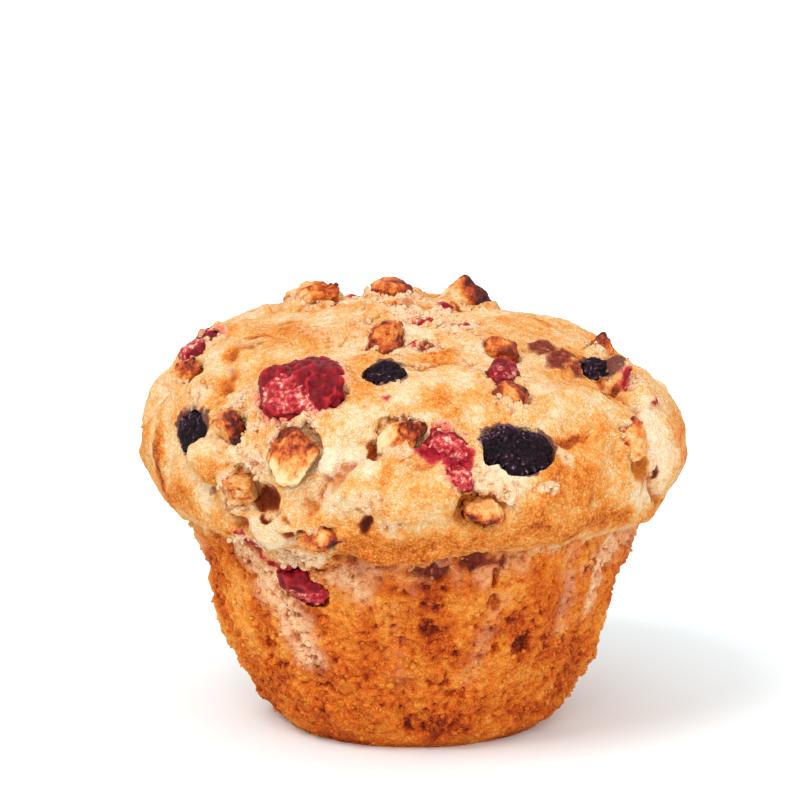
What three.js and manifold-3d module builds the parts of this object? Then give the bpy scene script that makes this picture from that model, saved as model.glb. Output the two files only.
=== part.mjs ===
// A large bakery muffin with no paper case: a browned, porous stump under a domed top that
// hangs over it, with blueberries, red berries and walnut pieces baked into it.
//
// Lengths are in millimetres and angles in degrees. +Z is up, the origin is the middle of the
// flat underside, and the front is towards -Y. A place on the muffin is given as seen from the
// middle of its widest ring: an azimuth, 0 at the front and growing to the right, and a polar
// angle, 0 at the top of the dome and 90 at the widest ring.
import * as THREE from "three";
import { mergeVertices } from "three/addons/utils/BufferGeometryUtils.js";
import Module from "manifold-3d";

// Driving dimensions of the cake
const DOME_RADIUS = 47.2;
const DOME_RISE = 23.9;
const RING_HEIGHT = 49.6;
const LIP_EDGE = { r: 43.4, z: 38.9 };
const NECK = { r: 40.2, z: 37.2 };
const FOOT_ROUNDING = { r: 26.9, z: 3.1 };
const FOOT_RADIUS = 21.4;
const SIDE_BULGE = 2.2;
// How the dome's side curls in: straight down, then outside and above the lip's edge
const LIP_CURL = { down: 5, out: 2.6, up: 1 };
const NECK_ROUNDING = 1.2;
const FOOT_CURL = 1.8;
// The dome rose more on its left than on its right: height gained per millimetre to the left
const DOME_LEAN = 0.045;

// How finely the surfaces are divided: a sphere of 20 faces, each edge cut into detail + 1
const CAKE_DETAIL = 13;
const BIT_DETAIL = 0;
const PROFILE_STEPS = 400;

// Relief of the baked surface: height, width of one swelling, and seed
const DOME_BILLOWS = { rise: 1.5, width: 17, seed: 3 };
const DOME_LUMPS = { rise: 0.55, width: 6.5, seed: 5 };
const STUMP_SWELLS = { rise: 0.8, width: 11, seed: 7 };
const STUMP_CRUMB = { rise: 0.6, width: 3.6, seed: 9 };
const CRAGS = { rise: 0.8, width: 2.8, reach: 3.2, seed: 11 };
// Heights between which the stump's relief gives way to the dome's, and that of a calm foot
const RELIEF_CHANGE = { low: NECK.z - 1, high: LIP_EDGE.z + 2 };
const FLAT_FOOT_FADE = 5;
// Width of a lobe's bell as a share of its size, and where the clefts of the foot begin
const SWELL_SPREAD = 0.63;
const FOOT_CLEFT_POLAR = 110;

// Toppings, in shares of half their size: roughness of the skin or the broken face, and dents
const BLUE_WRINKLES = { rise: 0.09, width: 0.5 };
const BLUE_CROWN = { depth: 0.16, width: 0.45 };
const RED_WRINKLES = { rise: 0.2, width: 0.62 };
const RED_DENT = { depth: 0.1, width: 0.5 };
const NUT_ROUGHNESS = { rise: 0.1, width: 0.55 };
const NUT_GROOVE = { depth: 0.1, width: 0.22 };
const NUT_FACES = { count: 9, near: 0.58, far: 0.9, corner: 1.12, steepest: 0.05, row: 17 };
const BIT_ROUGHNESS = { rise: 0.25, width: 0.7 };
const BIT_SINK = 0.12;
const BIT_TURN = 40;

// Room between a topping and the socket that it sits in
const SOCKET_GAP = 0.35;

const DEGREE = Math.PI / 180;
const UP = new THREE.Vector3(0, 0, 1);

// Rounded lobes of batter: where, how long, wide and high, and the turn of the long side
const SWELLS = [
  { at: [-90, 64.5], size: [8, 4.6], rise: 3.6, turn: 75 },
  { at: [-56, 54], size: [24, 11], rise: 1.6, turn: 60 },
  { at: [-47, 85], size: [10, 8], rise: 2.0, turn: 20 },
  { at: [-30, 97], size: [13, 5], rise: 2.0, turn: -20 },
  { at: [-4, 91], size: [20, 11], rise: 1.4, turn: 0 },
  { at: [38, 91], size: [26, 12], rise: 1.2, turn: 5 },
  { at: [14, 64], size: [22, 10], rise: 1.2, turn: -10 },
  { at: [44, 72], size: [18, 9], rise: 1.0, turn: -20 },
  { at: [72, 85], size: [12, 15], rise: 1.0, turn: 10 },
  { at: [77, 71], size: [9, 7], rise: 1.6, turn: 0 },
  { at: [88, 88], size: [14, 6], rise: 0.8, turn: 0 },
  { at: [84, 101], size: [17, 7], rise: -3.0, turn: 0 },
  { at: [-92, 78], size: [12, 7], rise: -2.0, turn: 0 },
  { at: [-88, 135], size: [13, 10], rise: 1.3, turn: 0 },
  { at: [76, 122], size: [14, 8], rise: -0.9, turn: 0 },
  { at: [112, 82], size: [22, 12], rise: 0.9, turn: 15 },
  { at: [142, 62], size: [24, 12], rise: 0.8, turn: -25 },
  { at: [150, 94], size: [20, 9], rise: 1.4, turn: 0 },
  { at: [182, 76], size: [18, 14], rise: 1.6, turn: 30 },
  { at: [-140, 88], size: [22, 12], rise: 1.5, turn: 10 },
  { at: [-126, 56], size: [20, 12], rise: 1.8, turn: -30 },
  { at: [-104, 84], size: [16, 12], rise: 1.6, turn: 0 },
];

// Folds where two lobes of batter meet, and clefts in the stump's foot: ends, depth and width
const FOLDS = [
  { from: [-24, 92], to: [-12, 78], depth: 1.6, width: 2.4 },
  { from: [-12, 78], to: [16, 74], depth: 1.1, width: 3.0 },
  { from: [-62, 88], to: [-46, 95], depth: 1.8, width: 2.2 },
  { from: [-64, 52], to: [-50, 70], depth: 1.0, width: 2.6 },
  { from: [58, 66], to: [60, 96], depth: 1.7, width: 2.4 },
  { from: [44, 52], to: [60, 66], depth: 0.9, width: 3.0 },
  { from: [36, 78], to: [46, 77], depth: 1.1, width: 1.8 },
  { from: [-44, 97], to: [-24, 101], depth: 1.6, width: 2.0 },
  { from: [92, 60], to: [98, 92], depth: 1.5, width: 2.6 },
  { from: [126, 70], to: [166, 78], depth: 1.3, width: 2.8 },
  { from: [-166, 70], to: [-122, 74], depth: 1.4, width: 2.8 },
  { from: [-120, 78], to: [-116, 98], depth: 1.5, width: 2.4 },
  { from: [-3, 152], to: [-4, 140], depth: 1.9, width: 2.2 },
  { from: [28, 152], to: [26, 144], depth: 1.3, width: 2.2 },
  { from: [96, 152], to: [99, 138], depth: 1.6, width: 2.2 },
  { from: [-150, 152], to: [-147, 140], depth: 1.6, width: 2.2 },
];

// Open pores and torn hollows in the crumb: where, how wide and how deep
const PORES = [
  { at: [4, 124], size: 2.6, depth: 1.6 },
  { at: [32, 128], size: 2.8, depth: 1.9 },
  { at: [19, 108], size: 2.6, depth: 1.8 },
  { at: [10, 136], size: 2.4, depth: 1.5 },
  { at: [-29, 139], size: 2.6, depth: 1.4 },
  { at: [-46, 130], size: 3.0, depth: 1.5 },
  { at: [-9, 92], size: 2.6, depth: 1.9 },
  { at: [62, 118], size: 2.8, depth: 1.6 },
  { at: [88, 130], size: 3.0, depth: 1.8 },
  { at: [120, 116], size: 2.8, depth: 1.7 },
  { at: [150, 128], size: 3.2, depth: 1.8 },
  { at: [-168, 120], size: 2.8, depth: 1.6 },
  { at: [-130, 124], size: 3.0, depth: 1.8 },
  { at: [-96, 136], size: 2.8, depth: 1.6 },
  { at: [-78, 116], size: 2.8, depth: 1.6 },
];

// Toppings as large as berries. size is across, up the slope and through, in mm; sink is how
// far the middle lies under the surface; a pocket is a hollow in the cake beside the piece.
const BLUEBERRIES = [
  { at: [22.8, 80.6], size: [13.4, 8.6, 7.4], sink: 2.1, turn: -6, detail: 2 },
  { at: [-10.2, 58.5], size: [7.6, 7.0, 7.0], sink: 2.4, turn: 20 },
  { at: [-58.5, 80.5], size: [10.0, 8.0, 7.4], sink: 2.2, turn: 0 },
  { at: [70, 66], size: [8.4, 5.4, 6.2], sink: 1.8, turn: -40 },
  { at: [116, 76], size: [10.2, 8.6, 7.6], sink: 3.4, turn: 40 },
  { at: [163, 81], size: [12.4, 10.4, 8.0], sink: 2.2, turn: -20 },
  { at: [-150, 58], size: [9.8, 8.8, 7.2], sink: 3.6, turn: 10 },
  { at: [-112, 72], size: [11.4, 10.0, 8.0], sink: 2.2, turn: 60 },
];
const RED_BERRIES = [
  { at: [-30.7, 68], size: [16.4, 13.4, 8.0], sink: 1.6, turn: -8, detail: 2 },
  { at: [28.4, 60.4], size: [5.2, 4.8, 5.2], sink: 0.8, turn: 0 },
  { at: [7.2, 78.6], size: [6.8, 5.6, 4.4], sink: 1.2, turn: -14 },
  { at: [9.0, 85.4], size: [5.2, 3.8, 3.8], sink: 0.8, turn: -30 },
  { at: [-29.4, 115.5], size: [10.0, 5.0, 5.0], sink: 2.0, turn: -22 },
  { at: [-85, 67], size: [8.0, 5.2, 4.8], sink: 0.9, turn: 70 },
  { at: [134, 80], size: [13.2, 11.0, 7.2], sink: 1.7, turn: 24 },
  { at: [-174, 66], size: [12.0, 9.0, 7.0], sink: 1.6, turn: -30 },
  { at: [-133, 84], size: [12.0, 10.0, 7.2], sink: 1.8, turn: 10 },
  { at: [108, 112], size: [9.6, 5.6, 5.0], sink: 1.4, turn: 16 },
];
const WALNUTS = [
  { at: [-76, 12], size: [8.0, 7.0, 5.6], sink: 0.8, turn: 50 },
  { at: [-16.5, 36.5], size: [7.4, 14.6, 6.8], sink: 0.6, turn: 4 },
  { at: [144, 32.5], size: [10.4, 8.0, 8.8], sink: -1.6, turn: 30, lean: -10 },
  { at: [-123, 42], size: [8.0, 9.6, 5.6], sink: -1.2, turn: 35, lean: 8 },
  { at: [-164, 33], size: [9.4, 6.0, 5.4], sink: -1.0, turn: -10 },
  { at: [43, 46], size: [5.0, 6.8, 7.4], sink: 0.2, turn: 15 },
  { at: [27.0, 67.4], size: [7.4, 6.4, 6.0], sink: 0.5, turn: -30 },
  { at: [80, 62.5], size: [5.8, 5.6, 8.0], sink: 0.0, turn: 20, lean: 10 },
  {
    at: [-3.4, 76.2],
    size: [10.6, 9.0, 6.6],
    sink: 0.7,
    turn: 28,
    pocket: { shift: [-4.6, -0.6, 1.4], size: [4.4, 7.0, 5.4] },
  },
  {
    at: [12.9, 92],
    size: [8.6, 6.6, 5.2],
    sink: 1.4,
    turn: -14,
    pocket: { shift: [1.0, -0.2, 1.6], size: [13.0, 7.6, 5.0] },
  },
  { at: [-25.6, 82], size: [10.6, 14.2, 6.8], sink: 0.8, turn: -18 },
  { at: [-45.4, 78.4], size: [8.8, 6.2, 5.4], sink: 0.7, turn: -24 },
  {
    at: [-39, 90.4],
    size: [9.8, 6.8, 5.6],
    sink: 0.4,
    turn: 24,
    pocket: { shift: [3.6, -3.4, 0.6], size: [8.2, 6.6, 6.6] },
  },
  { at: [-21, 98.6], size: [7.4, 4.8, 4.4], sink: 0.7, turn: 6 },
  {
    at: [55.2, 81.5],
    size: [5.4, 8.4, 4.8],
    sink: 0.9,
    turn: -10,
    pocket: { shift: [0.6, -5.0, 1.0], size: [6.0, 8.0, 4.6] },
  },
  { at: [-74.5, 72], size: [7.2, 5.8, 5.2], sink: 0.6, turn: 40 },
  { at: [112, 90], size: [9.0, 7.0, 5.6], sink: 0.8, turn: 30 },
  { at: [150, 70.5], size: [8.6, 7.0, 6.0], sink: 0.6, turn: -40 },
  { at: [163, 61], size: [10.6, 7.6, 6.4], sink: 0.5, turn: 15 },
  {
    at: [-173, 89],
    size: [10.4, 7.8, 6.0],
    sink: 0.9,
    turn: -20,
    pocket: { shift: [3.8, -2.4, 1.0], size: [8.0, 6.6, 5.6] },
  },
  { at: [-146, 73], size: [9.2, 7.2, 6.2], sink: 0.5, turn: 50 },
  { at: [-125, 97], size: [9.0, 7.0, 5.4], sink: 0.8, turn: -10 },
  { at: [-107, 91], size: [9.0, 6.6, 5.4], sink: 0.8, turn: 15 },
  { at: [129, 98], size: [8.6, 6.0, 5.0], sink: 0.8, turn: -35 },
];

// Chips of nut and berry too small to be pieces of their own, fused to the cake
const BITS = [
  { at: [3.5, 40], size: 4.6 },
  { at: [17, 24], size: 3.4 },
  { at: [56, 55], size: 3.2 },
  { at: [-60, 71], size: 3.6 },
  { at: [-51, 72], size: 3.6 },
  { at: [-14, 101], size: 3.6 },
  { at: [-45, 106], size: 4.2 },
  { at: [60.4, 90.5], size: 2.8 },
  { at: [-71, 91], size: 3.4 },
  { at: [-168, 48], size: 4.0 },
  { at: [100, 28], size: 3.8 },
  { at: [-112, 54], size: 3.6 },
  { at: [140, 100], size: 3.6 },
  { at: [-156, 98], size: 3.8 },
];

// A repeatable random number from -1 to 1 for one point of a whole-number grid
function gridRandom(x, y, z, seed) {
  let h = Math.imul(x, 374761393) ^ Math.imul(y, 668265263);
  h ^= Math.imul(z, 1442695041) ^ Math.imul(seed, 1274126177);
  h = Math.imul(h ^ (h >>> 13), 1274126177);
  h = Math.imul(h ^ (h >>> 15), 2246822519);
  return ((h ^ (h >>> 16)) >>> 0) / 2147483647.5 - 1;
}

// Smooth random relief from -1 to 1, whose swellings are about `width` across
function noise(point, width, seed) {
  const [x, y, z] = [point.x / width, point.y / width, point.z / width];
  const cell = [x, y, z].map(Math.floor);
  const [u, v, w] = [x - cell[0], y - cell[1], z - cell[2]].map((t) => t * t * (3 - 2 * t));
  let sum = 0;
  for (const [i, j, k] of [0, 1, 2, 3, 4, 5, 6, 7].map((n) => [n & 1, (n >> 1) & 1, n >> 2])) {
    const share = (i ? u : 1 - u) * (j ? v : 1 - v) * (k ? w : 1 - w);
    sum += share * gridRandom(cell[0] + i, cell[1] + j, cell[2] + k, seed);
  }
  return sum;
}

// The cake's half outline, as (radius, height), from the top of the dome to the underside
function outline() {
  const path = new THREE.Path();
  path.moveTo(0, RING_HEIGHT + DOME_RISE);
  path.absellipse(0, RING_HEIGHT, DOME_RADIUS, DOME_RISE, 90 * DEGREE, 0, true);
  path.bezierCurveTo(
    DOME_RADIUS,
    RING_HEIGHT - LIP_CURL.down,
    LIP_EDGE.r + LIP_CURL.out,
    LIP_EDGE.z + LIP_CURL.up,
    LIP_EDGE.r,
    LIP_EDGE.z,
  );
  path.quadraticCurveTo(NECK.r, NECK.z + NECK_ROUNDING, NECK.r, NECK.z);
  const middle = { r: (NECK.r + FOOT_ROUNDING.r) / 2, z: (NECK.z + FOOT_ROUNDING.z) / 2 };
  const bulge = { r: middle.r + SIDE_BULGE, z: middle.z - SIDE_BULGE };
  path.quadraticCurveTo(bulge.r, bulge.z, FOOT_ROUNDING.r, FOOT_ROUNDING.z);
  path.quadraticCurveTo(FOOT_RADIUS + FOOT_CURL, 0, FOOT_RADIUS, 0);
  path.lineTo(0, 0);
  return path;
}

// Steps along the outline with the share of the cake's surface that lies above each
function measuredOutline() {
  const steps = outline()
    .getSpacedPoints(PROFILE_STEPS)
    .map((p) => ({ r: p.x, z: p.y, above: 0 }));
  for (let i = 1; i < steps.length; i++) {
    const [a, b] = [steps[i - 1], steps[i]];
    b.above = a.above + (a.r + b.r) * Math.hypot(b.r - a.r, b.z - a.z);
  }
  const whole = steps.at(-1).above;
  for (const step of steps) step.above /= whole;
  return steps;
}
const OUTLINE = measuredOutline();

// A point of the smooth cake between two steps of its outline, turned to an azimuth in radians
function smoothPoint(index, share, azimuth) {
  const a = OUTLINE[index];
  const b = OUTLINE[index + 1];
  const r = a.r + (b.r - a.r) * share;
  const z = a.z + (b.z - a.z) * share;
  const length = Math.hypot(b.r - a.r, b.z - a.z);
  const [normalR, normalZ] = [(a.z - b.z) / length, (b.r - a.r) / length];
  const [sin, cos] = [Math.sin(azimuth), Math.cos(azimuth)];
  return {
    point: new THREE.Vector3(r * sin, -r * cos, z),
    normal: new THREE.Vector3(normalR * sin, -normalR * cos, normalZ),
    east: new THREE.Vector3(cos, sin, 0),
  };
}

// The smooth cake where a sphere's direction falls, spread so that all faces are alike in area
function byDirection(direction) {
  const above = (1 - direction.z) / 2;
  const azimuth = Math.atan2(direction.x, -direction.y);
  const found = OUTLINE.findIndex((step) => step.above >= above);
  const index = Math.max(0, (found < 0 ? OUTLINE.length - 1 : found) - 1);
  const [a, b] = [OUTLINE[index], OUTLINE[index + 1]];
  return smoothPoint(index, (above - a.above) / (b.above - a.above), azimuth);
}

// The smooth cake at an azimuth and polar angle seen from the middle of the widest ring
function smoothAt([azimuth, polar]) {
  const angle = (step) => Math.atan2(step.r, step.z - RING_HEIGHT) / DEGREE;
  const index = OUTLINE.findIndex((step, i) => i > 0 && angle(step) >= polar) - 1;
  const [a, b] = [angle(OUTLINE[index]), angle(OUTLINE[index + 1])];
  return smoothPoint(index, (polar - a) / (b - a), azimuth * DEGREE);
}

// Rises smoothly from 0 at `low` to 1 at `high`, or falls where `low` is the larger
function smoothStep(low, high, value) {
  const t = THREE.MathUtils.clamp((value - low) / (high - low), 0, 1);
  return t * t * (3 - 2 * t);
}

// A bell, 1 in its middle and about a third at `width` from it
const bell = (away, width) => Math.exp(-((away / width) ** 2));

const tornPlaces = [...BLUEBERRIES, ...RED_BERRIES, ...WALNUTS].map((topping) => ({
  ...smoothAt(topping.at),
  reach: Math.max(topping.size[0], topping.size[1]) / 2 + CRAGS.reach,
}));
const swells = SWELLS.map((swell) => ({ ...swell, ...smoothAt(swell.at) }));
const pores = PORES.map((pore) => ({ ...pore, ...smoothAt(pore.at) }));
const folds = FOLDS.map((fold) => ({
  ...fold,
  line: new THREE.Line3(smoothAt(fold.from).point, smoothAt(fold.to).point),
}));

// How far the baked surface stands out from the smooth cake at a point of it
function relief({ point, normal }) {
  const dome = smoothStep(RELIEF_CHANGE.low, RELIEF_CHANGE.high, point.z);
  const foot = smoothStep(0, FLAT_FOOT_FADE, point.z);
  const torn = Math.max(
    ...tornPlaces.map(({ point: middle, reach }) =>
      smoothStep(reach, reach - CRAGS.reach, middle.distanceTo(point)),
    ),
  );
  let height = -DOME_LEAN * dome * point.x * Math.max(0, normal.z);
  for (const [layer, share] of [
    [DOME_BILLOWS, dome],
    [DOME_LUMPS, dome],
    [STUMP_SWELLS, (1 - dome) * foot],
    [STUMP_CRUMB, (1 - dome) * foot],
    [CRAGS, torn],
  ])
    height += share * layer.rise * noise(point, layer.width, layer.seed);
  for (const swell of swells) {
    const offset = point.clone().sub(swell.point);
    const up = swell.normal.clone().cross(swell.east);
    const [x, y] = [offset.dot(swell.east), offset.dot(up)];
    const [sin, cos] = [Math.sin(swell.turn * DEGREE), Math.cos(swell.turn * DEGREE)];
    const along = (x * cos + y * sin) / swell.size[0];
    const across = (y * cos - x * sin) / swell.size[1];
    const facing = Math.max(0, normal.dot(swell.normal));
    height += swell.rise * bell(Math.hypot(along, across), SWELL_SPREAD) * facing;
  }
  const nearest = new THREE.Vector3();
  for (const fold of folds) {
    const away = fold.line.closestPointToPoint(point, true, nearest).distanceTo(point);
    height -= fold.depth * bell(away, fold.width) * (fold.from[1] > FOOT_CLEFT_POLAR ? foot : 1);
  }
  for (const pore of pores) height -= pore.depth * bell(pore.point.distanceTo(point), pore.size);
  return height;
}

// A sphere's shared corners and faces, each corner moved by a function of its direction
function shapedSphere(detail, place) {
  const sphere = new THREE.IcosahedronGeometry(1, detail);
  sphere.deleteAttribute("normal");
  sphere.deleteAttribute("uv");
  const geometry = mergeVertices(sphere, 1e-5);
  const corners = geometry.getAttribute("position");
  const corner = new THREE.Vector3();
  for (let i = 0; i < corners.count; i++) {
    corner.fromBufferAttribute(corners, i).normalize();
    corner.copy(place(corner));
    corners.setXYZ(i, corner.x, corner.y, corner.z);
  }
  return geometry;
}

// The cake without its sockets: smooth outline plus relief, with an exactly flat underside
function cakeGeometry() {
  return shapedSphere(CAKE_DETAIL, (direction) => {
    const place = byDirection(direction);
    if (place.point.z < 1e-3) return place.point.setZ(0);
    const moved = place.point.clone().addScaledVector(place.normal, relief(place));
    return moved.setZ(Math.max(moved.z, 0));
  });
}

// How far a convex broken chunk reaches in a direction: the nearest of its random flat faces
function chunkReach(direction, faces) {
  let reach = NUT_FACES.corner;
  for (const face of faces) {
    const slope = face.normal.dot(direction);
    if (slope > NUT_FACES.steepest) reach = Math.min(reach, face.distance / slope);
  }
  return reach;
}

function chunkFaces(seed) {
  const faces = [];
  for (let i = 0; i < NUT_FACES.count; i++) {
    const [x, y, z, w] = [1, 2, 3, 4].map((k) => gridRandom(i, k, NUT_FACES.row, seed));
    const distance = THREE.MathUtils.lerp(NUT_FACES.near, NUT_FACES.far, (w + 1) / 2);
    faces.push({ normal: new THREE.Vector3(x, y, z).normalize(), distance });
  }
  return faces;
}

// A walnut piece: flat broken faces with a groove along its upper side
function walnutReach(seed) {
  const faces = chunkFaces(seed);
  return (d) => {
    const rough = 1 + NUT_ROUGHNESS.rise * noise(d, NUT_ROUGHNESS.width, seed);
    const groove = d.z > 0 ? NUT_GROOVE.depth * bell(d.y, NUT_GROOVE.width) : 0;
    return chunkReach(d, faces) * rough - groove;
  };
}

// A baked blueberry: a slack round skin with soft wrinkles and a dimple for its crown
function blueberryReach(seed) {
  return (d) =>
    1 +
    BLUE_WRINKLES.rise * noise(d, BLUE_WRINKLES.width, seed) -
    BLUE_CROWN.depth * bell(d.distanceTo(UP), BLUE_CROWN.width);
}

// A burst red berry: a crumpled skin with deeper dents
function redBerryReach(seed) {
  return (d) =>
    1 +
    RED_WRINKLES.rise * noise(d, RED_WRINKLES.width, seed) -
    RED_DENT.depth * bell(d.distanceTo(UP), RED_DENT.width);
}

// The frame of a place on the baked surface, turned and leaned as the topping lies in it
function seat({ at, sink, turn, lean = 0 }) {
  const place = smoothAt(at);
  const up = place.normal.clone().cross(place.east);
  const middle = place.point.clone().addScaledVector(place.normal, relief(place) - sink);
  return new THREE.Matrix4()
    .makeBasis(place.east, up, place.normal)
    .multiply(new THREE.Matrix4().makeRotationZ(turn * DEGREE))
    .multiply(new THREE.Matrix4().makeRotationX(lean * DEGREE))
    .setPosition(middle);
}

// A topping or its socket in the cake: its reach in each direction, scaled to half its size
function toppingGeometry(topping, reach, extra = 0) {
  const half = topping.size.map((length) => length / 2 + extra);
  return shapedSphere(topping.detail ?? 1, (d) => {
    const length = reach(d);
    return new THREE.Vector3(d.x * half[0], d.y * half[1], d.z * half[2]).multiplyScalar(length);
  }).applyMatrix4(seat(topping));
}

// The hollow beside a topping: an ellipsoid set off from the topping's own middle
function pocketGeometry(topping) {
  const shift = new THREE.Vector3(...topping.pocket.shift);
  const half = new THREE.Vector3(...topping.pocket.size).divideScalar(2);
  return shapedSphere(1, (d) => d.clone().multiply(half).add(shift)).applyMatrix4(seat(topping));
}

// A small rough chip, standing mostly out of the cake
function bitGeometry({ at, size }, seed) {
  return shapedSphere(BIT_DETAIL, (d) => {
    const rough = 1 + BIT_ROUGHNESS.rise * noise(d, BIT_ROUGHNESS.width, seed);
    return d.clone().multiplyScalar((size / 2) * rough);
  }).applyMatrix4(seat({ at, sink: size * BIT_SINK, turn: seed * BIT_TURN }));
}

const wasm = await Module();
wasm.setup();

function toSolid(geometry) {
  return new wasm.Manifold(
    new wasm.Mesh({
      numProp: 3,
      vertProperties: new Float32Array(geometry.getAttribute("position").array),
      triVerts: new Uint32Array(geometry.index.array),
    }),
  );
}

function toGeometry(solid) {
  const mesh = solid.getMesh();
  return new THREE.BufferGeometry()
    .setAttribute("position", new THREE.BufferAttribute(mesh.vertProperties, 3))
    .setIndex(new THREE.BufferAttribute(mesh.triVerts, 1));
}

const largestBody = (solid) => solid.decompose().sort((a, b) => b.volume() - a.volume())[0];

const muffin = new THREE.Group();

function addMesh(name, geometry, material) {
  geometry.computeVertexNormals();
  const mesh = new THREE.Mesh(geometry, material);
  mesh.name = name;
  muffin.add(mesh);
}

const crumb = new THREE.MeshStandardMaterial({ color: 0xd9914f, roughness: 0.85 });
const blueSkin = new THREE.MeshStandardMaterial({ color: 0x2e2233, roughness: 0.45 });
const redSkin = new THREE.MeshStandardMaterial({ color: 0xa8262f, roughness: 0.4 });
const nutMeat = new THREE.MeshStandardMaterial({ color: 0xe0a869, roughness: 0.7 });

const kinds = [
  { name: "blueberry", list: BLUEBERRIES, reachOf: blueberryReach, seed: 31, material: blueSkin },
  { name: "red_berry", list: RED_BERRIES, reachOf: redBerryReach, seed: 62, material: redSkin },
  { name: "walnut", list: WALNUTS, reachOf: walnutReach, seed: 93, material: nutMeat },
];

let cake = toSolid(cakeGeometry());
BITS.forEach((bit, i) => {
  cake = cake.add(toSolid(bitGeometry(bit, i + 1)));
});
kinds.forEach(({ name, list, reachOf, seed, material }) => {
  list.forEach((topping, i) => {
    const reach = reachOf(seed + i);
    cake = cake.subtract(toSolid(toppingGeometry(topping, reach, SOCKET_GAP)));
    if (topping.pocket) cake = cake.subtract(toSolid(pocketGeometry(topping)));
    addMesh(`${name}_${i + 1}`, toppingGeometry(topping, reach), material);
  });
});
addMesh("cake", toGeometry(largestBody(cake)), crumb);

export default muffin;
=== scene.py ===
# The looks of a berry and walnut muffin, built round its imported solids.
#
# Blender works in metres. Lengths here are in millimetres, times MM where they reach Blender.
# A place on the muffin is (azimuth, polar) in degrees, seen from the middle of its widest ring:
# azimuth 0 is the front and grows to the right, polar 0 is the top and 90 the widest ring.
# A spot is its place, its half width and half height, and its strength.
import math

import bmesh
import bpy
import numpy as np
from mathutils import Matrix, Vector, noise
from mathutils.bvhtree import BVHTree


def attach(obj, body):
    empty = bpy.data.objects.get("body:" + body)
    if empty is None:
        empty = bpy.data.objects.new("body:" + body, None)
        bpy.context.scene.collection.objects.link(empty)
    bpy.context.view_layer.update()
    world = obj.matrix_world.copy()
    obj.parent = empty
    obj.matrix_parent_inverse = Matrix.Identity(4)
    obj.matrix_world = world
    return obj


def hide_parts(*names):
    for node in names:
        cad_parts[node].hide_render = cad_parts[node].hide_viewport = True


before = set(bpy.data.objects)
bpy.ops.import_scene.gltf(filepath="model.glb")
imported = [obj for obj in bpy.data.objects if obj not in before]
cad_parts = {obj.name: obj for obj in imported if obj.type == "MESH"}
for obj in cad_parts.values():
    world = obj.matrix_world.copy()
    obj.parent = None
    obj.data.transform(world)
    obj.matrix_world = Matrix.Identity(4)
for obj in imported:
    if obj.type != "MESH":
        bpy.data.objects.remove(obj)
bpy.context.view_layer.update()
MM = 0.001

# Heights on the cake: widest ring, edge of the lip, where its two pieces part, groove under the
# lip, neck, edge of the foot, and the sole, which lies flat
RING_HEIGHT = 49.6
LIP_HEIGHT = 38.9
PARTING_HEIGHT = 37.8
GROOVE_HEIGHT = 37.6
NECK_HEIGHT = 37.2
FOOT_HEIGHT = 4
SOLE_HEIGHT = 0.5

GROOVE_HALF_WIDTH = 1.3
GROOVE_DEPTH = 1.0

# Half width of the dome at its widest ring, and how far it rises over that ring
DOME_RADIUS = 48.0
DOME_RISE = 24.6

# Where the lip hangs lower, and by how much
DROOPS = [((-3, 104), (9, 3.6), 2.4), ((-29, 108), (9, 4), 3.2)]

# Camera: distance, degrees above level, what it looks at, width of its view there and how far
# it sees
CAMERA_DISTANCE = 1200
CAMERA_ELEVATION = 12.5
CAMERA_TARGET = (-2.45, 0, 56.77)
FRAME_WIDTH = 140
SIGHT = 20000
SENSOR_WIDTH = 36

FLOOR_HALF_WIDTH = 4000
FLOOR_COLOUR = (0.85, 0.915, 0.93, 1)

# Soft lights in a white surrounding: where each comes from, strength and breadth in degrees
LIGHTS = {
    "key": ((-0.5, -0.6, 1.0), 1.4, 26),
    "front": ((0.3, -1.0, 0.2), 1.5, 80),
}

# Width of the cake's mesh, rounds that smooth it before it is roughened, and how often the
# faces of toppings are divided
CAKE_VOXEL = 0.52
CAKE_SMOOTHING = 6
TOPPING_LEVELS = 3

# Rounds of smoothing that tell what stands out of a surface from what lies deep in it
SHAPE_ROUNDS = {"cake": 11, "blueberry": 8, "red_berry": 10, "walnut": 10}

# How far the edges of spots and lines wander, and over what width
EDGE_WANDER = 0.8
EDGE_WIDTH = 2.6

# Widths of the single crumbs and of the bubbles in the batter
CRUMB_WIDTH = 1.3
BUBBLE_WIDTH = 3.6

# Toppings swell by this much, to close their sockets, and mark the crumb this far round them
TOPPING_SWELL = 0.4
TOPPING_REACH = 4.0

# Share of their height over the middle that blueberries lose as they slacken
BLUEBERRY_SAG = 0.2

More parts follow.
